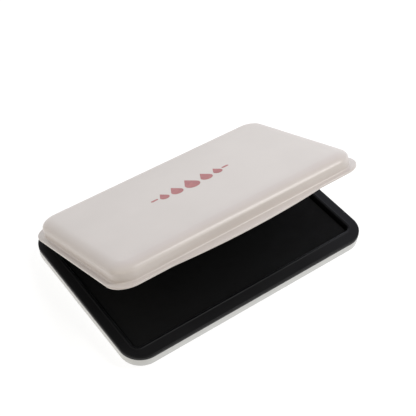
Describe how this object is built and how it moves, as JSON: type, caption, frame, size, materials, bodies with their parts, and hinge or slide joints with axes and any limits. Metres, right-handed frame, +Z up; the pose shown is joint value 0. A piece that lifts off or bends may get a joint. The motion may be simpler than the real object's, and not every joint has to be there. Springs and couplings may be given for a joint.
{
  "type": "ink pad",
  "caption": "Flat rectangular ink pad: hinged stepped lid with a thumb lip over a cloth-faced felt pad in a black rimmed tray, held in a shallow light-coloured case.",
  "frame": {"origin": "centre of the case's flat underside", "axes": "+X along the hinge, to the right of a person at the front; +Y towards the hinge at the back; +Z up"},
  "size_m": [0.12, 0.0853, 0.0458],
  "materials": {
    "case_plastic": "satin",
    "lid_plastic": "satin",
    "tray_plastic": "fine matte texture",
    "pad_cloth": "woven, soaked with ink",
    "felt": "pressed felt, soaked with ink",
    "board": "grey board",
    "pin_steel": "plain drawn wire"
  },
  "bodies": {
    "base": {"base_shell": "case_plastic", "ink_tray": "tray_plastic", "backing_board": "board", "felt_pad": "felt", "pad_cloth": "pad_cloth", "hinge_pin_left": "pin_steel", "hinge_pin_right": "pin_steel"},
    "lid": {"lid_shell": "lid_plastic", "lid_liner": "tray_plastic"}
  },
  "joints": [
    {"name": "lid_hinge", "type": "hinge", "parent": "base", "child": "lid", "pos_m": [0, 0.043, 0.0068], "axis": [-1, 0, 0], "range_deg": [-24.1, 149]}
  ]
}
